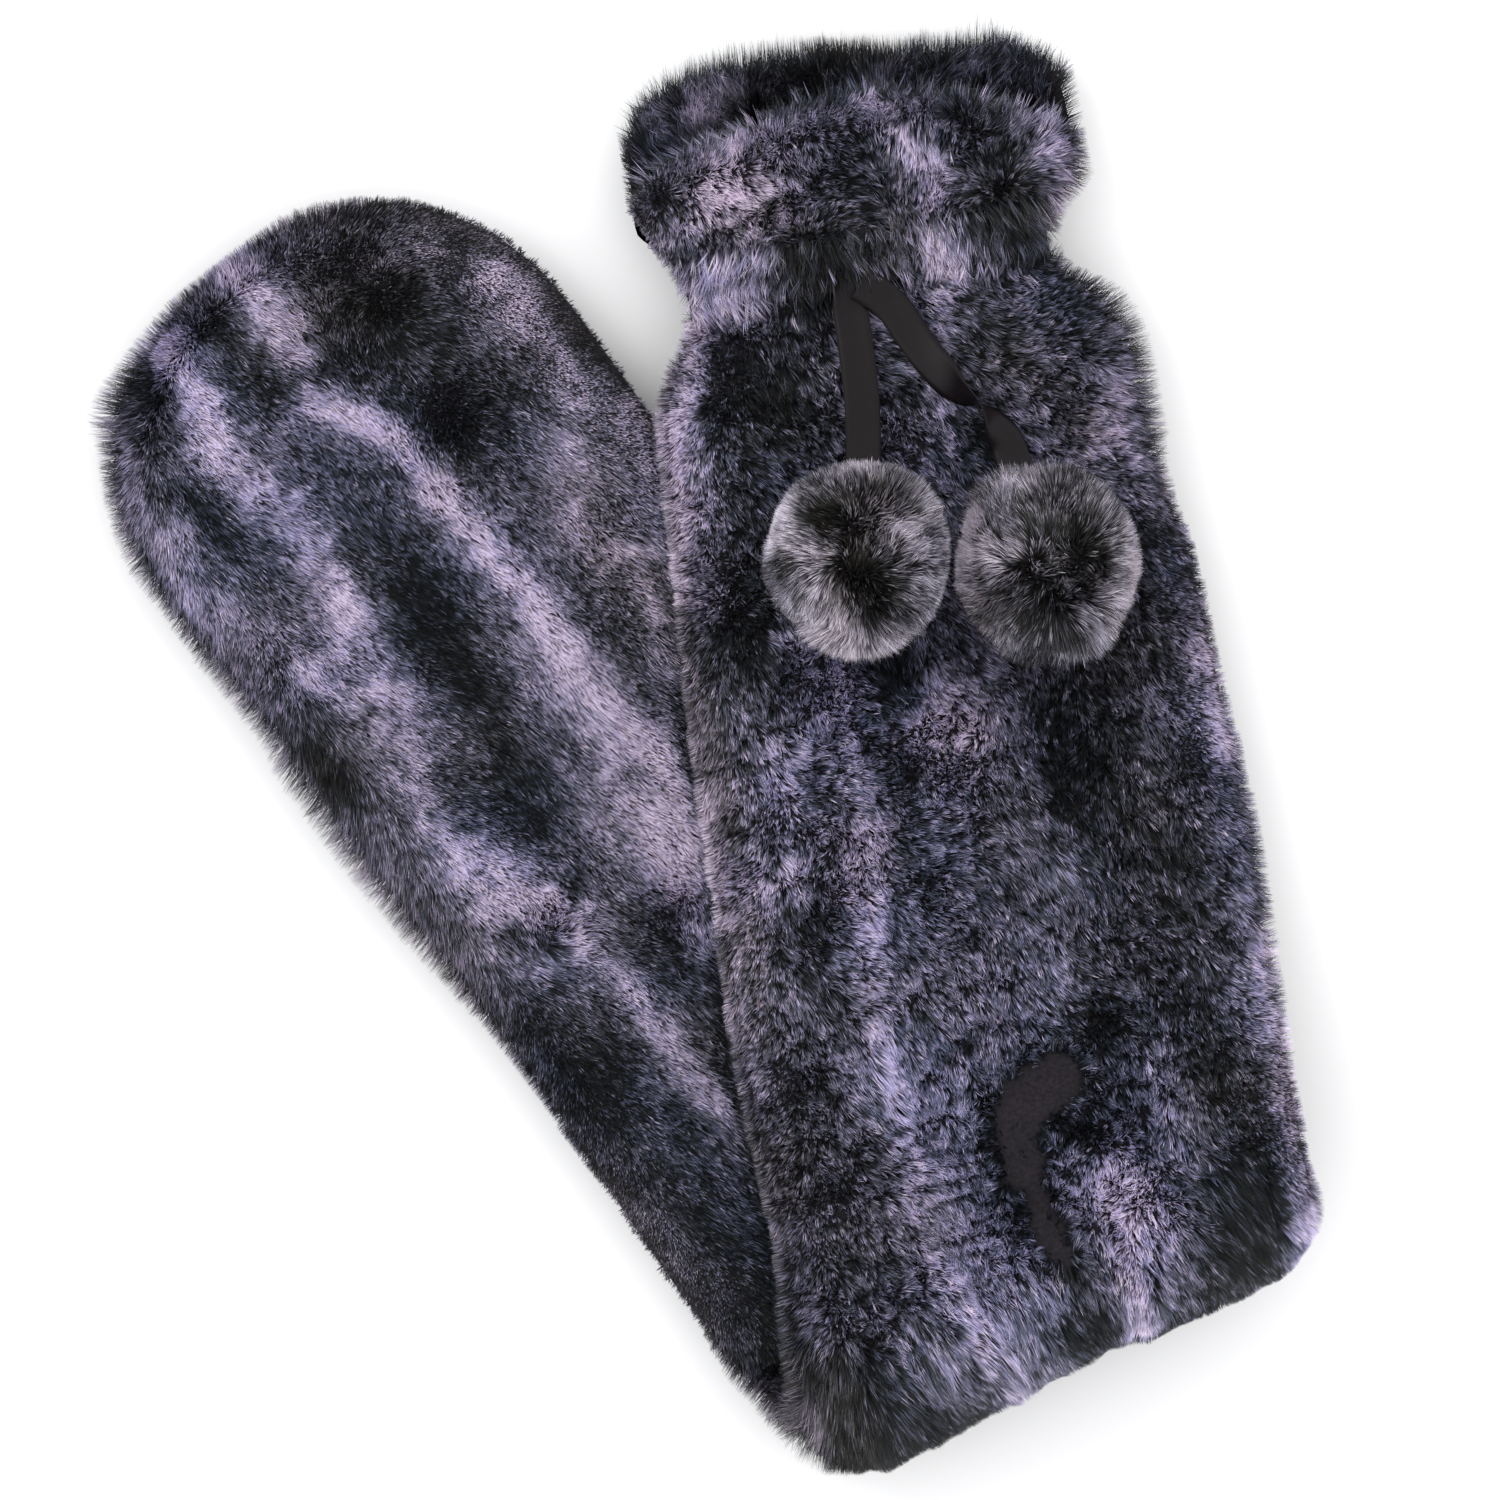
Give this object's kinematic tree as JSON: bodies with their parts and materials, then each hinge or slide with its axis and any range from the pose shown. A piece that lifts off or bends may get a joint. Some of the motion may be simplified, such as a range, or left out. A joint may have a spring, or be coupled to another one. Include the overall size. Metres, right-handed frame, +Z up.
{
  "type": "long hot water bottle cover",
  "caption": "Long faux-fur hot water bottle cover, folded once, with an open collar, a tied satin ribbon and pompoms.",
  "frame": {"origin": "centre of the folded cover's footprint, on the surface it lies on", "axes": "+Z up, +Y along the upper leaf from the fold to the collar, +X to the right of the upper leaf seen from above"},
  "size_m": [0.3134, 0.413, 0.1048],
  "materials": {
    "fur": "long charcoal pile with lilac tips",
    "ribbon": "dark taupe satin",
    "pompom": "long dark hair with pale tips"
  },
  "bodies": {
    "root": {"front_panel": "fur", "back_panel": "fur", "ribbon": "ribbon", "pompom_left": "pompom", "pompom_right": "pompom"}
  },
  "joints": []
}
